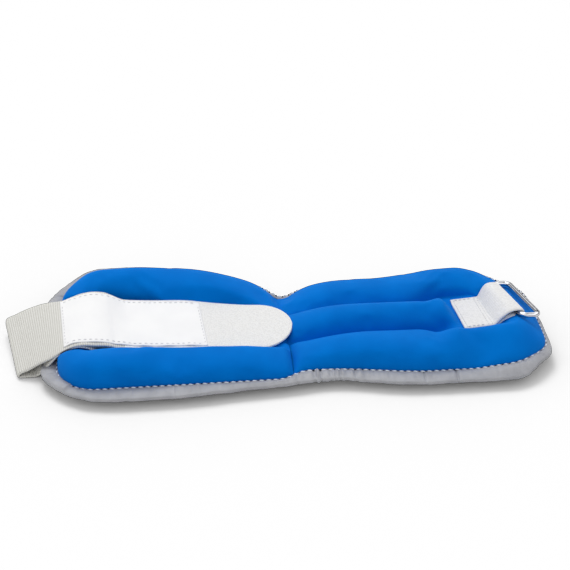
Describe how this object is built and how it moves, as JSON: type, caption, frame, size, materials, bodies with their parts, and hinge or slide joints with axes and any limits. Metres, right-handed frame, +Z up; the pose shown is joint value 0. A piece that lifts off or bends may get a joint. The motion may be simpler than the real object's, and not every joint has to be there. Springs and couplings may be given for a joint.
{
  "type": "ankle cuff weight",
  "caption": "Quilted, shot-filled ankle cuff weight with bound edge, terry liner, hook-and-loop strap with a bare label, and a steel strap ring on a webbing tab.",
  "frame": {"origin": "on the floor under the middle of the panel's centre seam, liner side down", "axes": "+X along the panel towards the ring end, +Y across the panel, +Z up through the cover side"},
  "size_m": [0.322, 0.122, 0.0263],
  "materials": {
    "cover_cloth": "matte foam-backed nylon",
    "liner_terry": "terry loop pile",
    "edge_tape": "satin woven tape",
    "strap_webbing": "ribbed woven webbing",
    "label_cloth": "fine woven satin",
    "hook_tape": "moulded hooks",
    "iron_shot": "loose shot",
    "ring_steel": "polished plate"
  },
  "bodies": {
    "panel_right_inner": {"cover_right_inner": "cover_cloth", "liner_right_inner": "liner_terry", "centre_fill_right_inner": "iron_shot", "fill_right_inner_front": "iron_shot", "fill_right_inner_rear": "iron_shot", "binding_right_inner_front": "edge_tape", "binding_right_inner_rear": "edge_tape"},
    "panel_right_mid": {"cover_right_mid": "cover_cloth", "liner_right_mid": "liner_terry", "centre_fill_right_mid": "iron_shot", "fill_right_mid_front": "iron_shot", "fill_right_mid_rear": "iron_shot", "binding_right_mid_front": "edge_tape", "binding_right_mid_rear": "edge_tape"},
    "panel_right_end": {"cover_right_end": "cover_cloth", "liner_right_end": "liner_terry", "centre_fill_right_end": "iron_shot", "fill_right_end_front": "iron_shot", "fill_right_end_rear": "iron_shot", "binding_right_end": "edge_tape", "fill_right_end_cross": "iron_shot", "ring_tab_patch": "strap_webbing"},
    "panel_left_inner": {"cover_left_inner": "cover_cloth", "liner_left_inner": "liner_terry", "centre_fill_left_inner": "iron_shot", "fill_left_inner_front": "iron_shot", "fill_left_inner_rear": "iron_shot", "binding_left_inner_front": "edge_tape", "binding_left_inner_rear": "edge_tape"},
    "panel_left_mid": {"cover_left_mid": "cover_cloth", "liner_left_mid": "liner_terry", "centre_fill_left_mid": "iron_shot", "fill_left_mid_front": "iron_shot", "fill_left_mid_rear": "iron_shot", "binding_left_mid_front": "edge_tape", "binding_left_mid_rear": "edge_tape"},
    "panel_left_end": {"cover_left_end": "cover_cloth", "liner_left_end": "liner_terry", "centre_fill_left_end": "iron_shot", "fill_left_end_front": "iron_shot", "fill_left_end_rear": "iron_shot", "binding_left_end": "edge_tape", "fill_left_end_cross": "iron_shot", "strap_anchor": "strap_webbing"},
    "strap_base": {"strap_lower": "strap_webbing"},
    "strap_tongue": {"strap_upper": "strap_webbing", "strap_label": "label_cloth", "hook_pad": "hook_tape"},
    "tab": {"ring_tab_loop": "strap_webbing"},
    "ring": {"strap_ring": "ring_steel"}
  },
  "joints": [
    {"name": "bend_centre", "type": "hinge", "parent": "panel_right_inner", "child": "panel_left_inner", "pos_m": [0, 0, 0], "axis": [0, -1, 0], "range_deg": [0, 53]},
    {"name": "bend_right_near", "type": "hinge", "parent": "panel_right_inner", "child": "panel_right_mid", "pos_m": [0.045, 0, 0], "axis": [0, 1, 0], "range_deg": [0, 53]},
    {"name": "bend_right_far", "type": "hinge", "parent": "panel_right_mid", "child": "panel_right_end", "pos_m": [0.09, 0, 0], "axis": [0, 1, 0], "range_deg": [0, 53]},
    {"name": "bend_left_near", "type": "hinge", "parent": "panel_left_inner", "child": "panel_left_mid", "pos_m": [-0.045, 0, 0], "axis": [0, -1, 0], "range_deg": [0, 53]},
    {"name": "bend_left_far", "type": "hinge", "parent": "panel_left_mid", "child": "panel_left_end", "pos_m": [-0.09, 0, 0], "axis": [0, -1, 0], "range_deg": [0, 53]},
    {"name": "strap_lift", "type": "hinge", "parent": "panel_left_end", "child": "strap_base", "pos_m": [-0.1135, 0, 0.009], "axis": [0, 1, 0], "range_deg": [0, 37.5]},
    {"name": "strap_open", "type": "hinge", "parent": "strap_base", "child": "strap_tongue", "pos_m": [-0.17205, 0, 0.005], "axis": [0, -1, 0], "range_deg": [0, 150]},
    {"name": "tab_lift", "type": "hinge", "parent": "panel_right_end", "child": "tab", "pos_m": [0.112, 0, 0.0087], "axis": [0.1219, -0.9925, 0], "range_deg": [0, 75]},
    {"name": "ring_swing", "type": "hinge", "parent": "tab", "child": "ring", "pos_m": [0.12763, 0.00192, 0.01855], "axis": [0.1193, -0.9715, 0.2047], "range_deg": [0, 150]}
  ],
  "couplings": [
    {"joint": "bend_right_near", "follows": "bend_centre", "ratio": 1},
    {"joint": "bend_right_far", "follows": "bend_centre", "ratio": 1},
    {"joint": "bend_left_near", "follows": "bend_centre", "ratio": 1},
    {"joint": "bend_left_far", "follows": "bend_centre", "ratio": 1},
    {"joint": "strap_lift", "follows": "strap_open", "ratio": 0.25}
  ]
}
